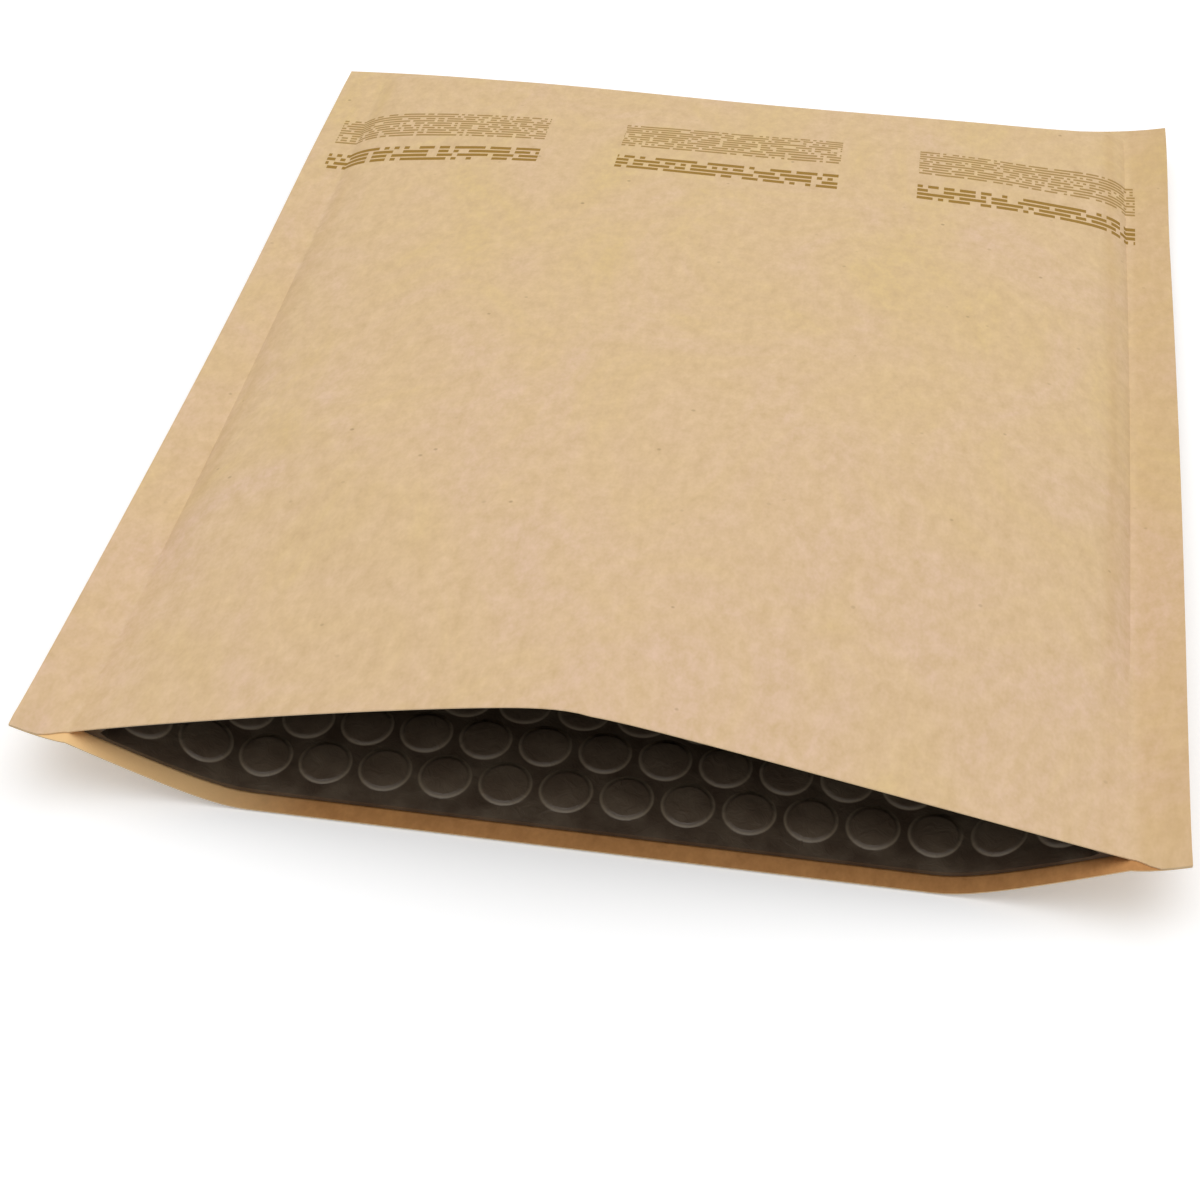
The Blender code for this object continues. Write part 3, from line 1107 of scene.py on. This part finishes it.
@dataclass
class BubbleLining:
    """The lining: one film of air cells, folded at the closed end and sealed at its sides."""

    form: EnvelopeForm
    thickness: float = 0.0038  # of one ply, over its cells
    film: float = 0.0008  # between them, drawn thicker than it is so that it shows
    lip_inset: float = 0.0015
    lip_taper: float = 0.020  # how far in from the lip the cells reach their full height
    side_gap: float = 0.0024  # from a seam's inner edge
    corner_round: float = 0.006  # how much further in the far corners are
    seal: float = 0.003  # how much narrower the pocket side is, at each side
    slit: float = 0.0004  # what is left open between the two plies
    squeeze: float = 4.0  # how sharply a ply turns from its free thickness to its squeezed one
    fit_gap: float = 0.00045  # from the paper
    pillow: float = 0.00040  # how far each cell bellies into the pocket
    pocket_turn: float = 0.230  # v from which the pocket side draws back from the fold
    pocket_end: float = 0.257
    pocket_side: float = 0.005  # how far in from the side the pocket side is drawn in
    side_fade: float = 0.009  # the cells fade out over this, and are gone one of it from a side
    fold_fade: float = 0.015  # and over this, gone half of it before the nose
    crown: tuple[float, ...] = (1.0, 0.97, 0.72, 0.0)  # a cell's height, middle to rings
    belly: tuple[float, ...] = (1.0, 0.74, 0.18, 0.0)
    least_room: float = 0.00001
    hair: float = 0.00002

    def ply(self, v: np.ndarray, room: np.ndarray) -> np.ndarray:
        """The thickness of one ply over its cells.

        It is the lesser of the free thickness, which grows in from the lip, and half the room,
        eased by a sum of powers where the two are alike.

        Args:
            v: the way in.
            room: the height between the lining's upper and lower side.

        Returns:
            The thickness at each place.
        """
        grown = np.clip((v - self.lip_inset) / self.lip_taper, 0.0, 1.0)
        free = self.film + (self.thickness - self.film) * grown
        half = np.maximum((room - self.slit) / 2.0, self.least_room)
        return free * half / (free**self.squeeze + half**self.squeeze) ** (1.0 / self.squeeze)

    def span(self, v: np.ndarray, x: np.ndarray) -> tuple[np.ndarray, np.ndarray]:
        """The heights that the lining lies between, a fit gap in from the paper.

        Args:
            v: the way in.
            x: the place across.

        Returns:
            The upper and the lower height.
        """
        form = self.form
        s = np.clip(x / form.half_width(v), -1.0, 1.0)
        gap = self.fit_gap * form.nose(v)
        top = form.inside_height(Panel.FRONT, v, s, 0.0, x) - gap
        bottom = form.inside_height(Panel.BACK, v, s, 0.0, x) + gap
        return top, bottom

    def build(self) -> bpy.types.Object:
        """Makes the lining, dresses it and puts it in the place of its CAD solid.

        Returns:
            The lining.
        """
        form = self.form
        half_flat = form.pocket_width - self.side_gap
        layout = CellLayout(half_flat, self.lip_inset, form.panel_length, form.cell_pitch)
        flat, away, triangles = layout.lay_out()
        across, v = flat.T
        edges = border_edges(triangles)
        places = (0.0, *layout.rings)

        # Towards the paper: full height over a cell, and down to the film between the cells, but
        # not near the sides and the fold
        drawn_in = self.corner_round * (1.0 - form.nose(v))
        x = across / half_flat * (form.half_width(v) - self.side_gap - drawn_in)
        top, bottom = self.span(v, x)
        crown = np.interp(away, places, self.crown)
        sunk = (1.0 - crown) * np.maximum(self.ply(v, top - bottom) - self.film, 0.0)
        near_side = smooth_step((np.abs(across) - half_flat) / self.side_fade + 2.0)
        near_fold = smooth_step((v - form.nose_start) / self.fold_fade + 1.5)
        sunk = sunk * (1.0 - near_side) * (1.0 - near_fold)
        shut = self.hair / 2.0 * (1.0 - form.nose(v))
        inset = form.kraft_thickness + self.fit_gap
        upper_outside = form.place(v, x, top - sunk + shut, inset)
        lower_outside = form.place(v, x, bottom + sunk - shut, inset)

        # Towards the pocket: a little narrower and shorter, nearly flat, and shut at the edges
        reach = half_flat - self.pocket_side
        drawn = reach + (np.abs(across) - reach) * (1.0 - self.seal / self.pocket_side)
        across = np.where(np.abs(across) > reach, np.sign(across) * drawn, across)
        shorter = (self.pocket_end - self.pocket_turn) / (form.panel_length - self.pocket_turn)
        v = np.where(v > self.pocket_turn, self.pocket_turn + (v - self.pocket_turn) * shorter, v)
        x = across / half_flat * (form.half_width(v) - self.side_gap)
        top, bottom = self.span(v, x)
        ply = self.ply(v, top - bottom)
        spare = np.maximum((top - bottom - self.slit) / 2.0 - ply, 0.0)
        ply = ply + np.minimum(self.pillow, spare / 2.0) * np.interp(away, places, self.belly)
        is_lip = np.isclose(flat[:, 1], self.lip_inset)
        is_side = np.isclose(np.abs(flat[:, 0]), half_flat)
        is_shut = is_side | np.isclose(flat[:, 1], form.panel_length)
        ply = np.where(is_shut, (top - bottom) / 2.0 - self.hair, ply)
        upper_inside = form.place(v, x, top - ply)
        lower_inside = form.place(v, x, bottom + ply)

        count = len(flat)
        at_lip = is_lip[edges].all(axis=1)
        lips, sides = edges[at_lip], edges[~at_lip]
        left = np.flatnonzero(is_lip & is_side & (flat[:, 0] < 0.0))[0]
        right = np.flatnonzero(is_lip & is_side & (flat[:, 0] > 0.0))[0]
        order = np.array((0, count, 3 * count, 2 * count))
        faces = (
            triangles,
            triangles[:, ::-1] + count,
            triangles[:, ::-1] + 2 * count,
            triangles + 3 * count,
            wall(sides, 0, count),
            wall(sides[:, ::-1], 2 * count, 3 * count),
            wall(lips, 0, 2 * count),
            wall(lips[:, ::-1], count, 3 * count),
            (left + order)[[(0, 1, 2), (0, 2, 3)]],
            (right + order[::-1])[[(0, 1, 2), (0, 2, 3)]],
        )
        lining = make_piece(
            "air_cell_lining",
            np.concatenate((upper_outside, lower_outside, upper_inside, lower_inside)),
            np.concatenate(faces),
            np.tile(flat, (4, 1)),
            {"cell": np.tile(away / layout.reach, 4)},
            [CellFilm(layout).material("air_cell_film")],
        )
        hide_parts("bubble_lining")
        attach(lining, ROOT_BODY)
        return lining


@dataclass(frozen=True)
class SoftLamp:
    """One softbox: where it stands, where it points, and its size and power."""

    name: str
    place: tuple[float, float, float]
    size: float
    watts: float
    aim: tuple[float, float, float] = (0.0, 0.0, 0.0)

    def build(self) -> bpy.types.Object:
        """Makes the lamp and turns it to its aim.

        Returns:
            The lamp.
        """
        data = bpy.data.lights.new(self.name, "AREA")
        data.shape = "SQUARE"
        data.size = self.size
        data.energy = self.watts
        lamp = bpy.data.objects.new(self.name, data)
        lamp.location = self.place
        beam = Vector(self.aim) - Vector(self.place)
        lamp.rotation_euler = beam.to_track_quat("-Z", "Y").to_euler()
        bpy.context.scene.collection.objects.link(lamp)
        return lamp


@dataclass(frozen=True)
class PortraitCamera:
    """The camera, by its bearing and height over the target, its roll and its lens."""

    bearing: float = math.radians(7.390)
    elevation: float = math.radians(38.708)
    roll: float = math.radians(1.747)
    distance: float = 0.514901
    target: tuple[float, float, float] = (-0.008028, -0.068803, 0.0)
    lens: float = 76.345  # millimetres, as the sensor's width is
    sensor_width: float = 36.0

    def build(self) -> bpy.types.Object:
        """Makes the camera and gives it to the scene.

        Returns:
            The camera.
        """
        flat = math.cos(self.elevation)
        east, south = math.sin(self.bearing) * flat, math.cos(self.bearing) * flat
        back = Vector((east, -south, math.sin(self.elevation)))
        right = (-back).cross(Vector((0.0, 0.0, 1.0))).normalized()
        up = right.cross(-back)
        turned_right = math.cos(self.roll) * right + math.sin(self.roll) * up
        turned_up = math.cos(self.roll) * up - math.sin(self.roll) * right
        data = bpy.data.cameras.new("portrait_camera")
        data.sensor_width = self.sensor_width
        data.lens = self.lens
        camera = bpy.data.objects.new("portrait_camera", data)
        place = Vector(self.target) + back * self.distance
        turn = Matrix((turned_right, turned_up, back)).transposed()
        camera.matrix_world = Matrix.Translation(place) @ turn.to_4x4()
        bpy.context.scene.collection.objects.link(camera)
        bpy.context.scene.camera = camera
        return camera


@dataclass
class Studio:
    """The pale floor, the soft light and the camera."""

    camera: PortraitCamera = PortraitCamera()
    lamps: tuple[SoftLamp, ...] = (
        SoftLamp("back_right_softbox", (0.80, 0.95, 1.30), 1.3, 4.0),
        SoftLamp("top_softbox", (-0.12, 0.10, 1.70), 2.4, 19.7),
    )
    floor_size: float = 8.0
    floor_colour: str = "#F4F4F4"
    floor_drop: float = 0.0003
    floor_glow: float = 0.26
    glow_start: float = 0.35  # how far from the middle the glow starts to grow
    glow_full: float = 1.5
    sky: float = 0.48

    def add_floor(self) -> bpy.types.Object:
        """Makes a white floor just under the envelope, which keeps its shadow.

        A little glow for what the eye, a gloss or a clear surface sees makes the floor white
        where it is lit in full, and it grows with the distance from the envelope.

        Returns:
            The floor.
        """
        material, tree = new_material("white_paper_floor")
        rays = add_node(tree, "LightPath")
        seen = 0.0
        for kind in ("Is Camera Ray", "Is Glossy Ray", "Is Transmission Ray"):
            both = {0: seen, 1: rays.outputs[kind]}
            seen = add_node(tree, "Math", both, operation="ADD", use_clamp=True)
        place = add_node(tree, "TexCoord").outputs["Object"]
        away = add_node(tree, "VectorMath", {0: place}, operation="LENGTH")
        glow_here = add_node(
            tree,
            "MapRange",
            {
                "Value": away,
                "From Min": self.glow_start,
                "From Max": self.glow_full,
                "To Min": self.floor_glow,
            },
        )
        glow = add_node(tree, "Math", {0: seen, 1: glow_here}, operation="MULTIPLY")
        shader = add_node(
            tree,
            "BsdfPrincipled",
            {
                "Base Color": linear(self.floor_colour),
                "Roughness": 0.9,
                "Specular IOR Level": 0.2,
                "Emission Color": WHITE,
                "Emission Strength": glow,
            },
        )
        show_shader(tree, shader)
        half, z = self.floor_size / 2.0, -self.floor_drop
        mesh = bpy.data.meshes.new("floor")
        corners = [(-half, -half, z), (half, -half, z), (half, half, z), (-half, half, z)]
        mesh.from_pydata(corners, [], [(0, 1, 2, 3)])
        mesh.materials.append(material)
        floor = bpy.data.objects.new("floor", mesh)
        bpy.context.scene.collection.objects.link(floor)
        return floor

    def add_sky(self) -> None:
        """Makes an even sky, which looks white and lights the envelope softly."""
        world = bpy.data.worlds.new("studio_sky")
        world.use_nodes = True
        tree = world.node_tree
        tree.nodes.clear()
        add_node(tree, "OutputWorld")
        eye = add_node(tree, "LightPath").outputs["Is Camera Ray"]
        strength = add_node(tree, "MapRange", {"Value": eye, "To Min": self.sky})
        show_shader(tree, add_node(tree, "Background", {"Color": WHITE, "Strength": strength}))
        bpy.context.scene.world = world

    def build(self) -> None:
        """Sets the whole studio up."""
        self.add_floor()
        self.add_sky()
        for lamp in self.lamps:
            lamp.build()
        self.camera.build()
        bpy.context.scene.view_settings.view_transform = "Standard"


def main() -> None:
    """Builds the envelope's pieces and the studio."""
    logging.basicConfig(level=logging.INFO, format="%(name)s: %(message)s")
    form = EnvelopeForm()
    for part in (KraftSheet(form), BubbleLining(form)):
        LOG.info("made %s", part.build().name)
    Studio().build()


if __name__ == "__main__":
    main()
